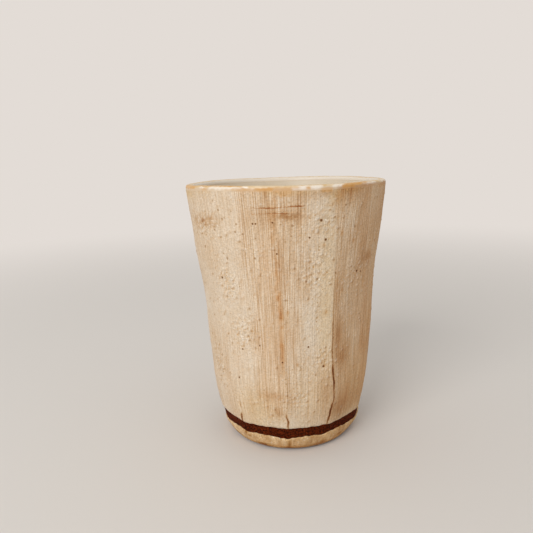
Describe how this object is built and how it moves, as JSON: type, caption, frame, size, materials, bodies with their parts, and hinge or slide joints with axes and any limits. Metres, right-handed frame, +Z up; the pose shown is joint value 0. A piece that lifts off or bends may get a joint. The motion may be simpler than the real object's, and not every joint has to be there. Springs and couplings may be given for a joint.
{
  "type": "yunomi tea cup",
  "caption": "Tall handleless tea cup in dark stoneware with shaved facets, a pale slip coat outside, a bare clay band above the foot, and a glazed inside and lip.",
  "frame": {"origin": "centre of the standing ring, on the surface that the cup stands on", "axes": "+Z up along the cup's axis; -Y is the front, the side that the picture shows"},
  "size_m": [0.0686, 0.0686, 0.09],
  "materials": {
    "clay": "bare dark-brown fired stoneware, matte, slightly gritty",
    "wall_slip": "pale cream slip, matte to satin, with upright scrape marks, rust streaks and pinholes",
    "foot_slip": "cream slip with a honey tint, thin at its edges",
    "inside_glaze": "off-white satin glaze",
    "lip_glaze": "off-white glaze breaking to honey brown on the lip"
  },
  "bodies": {
    "root": {"clay_body": "clay", "outer_slip": "wall_slip", "foot_slip": "foot_slip", "inner_glaze": "inside_glaze", "lip_glaze": "lip_glaze"}
  },
  "joints": []
}
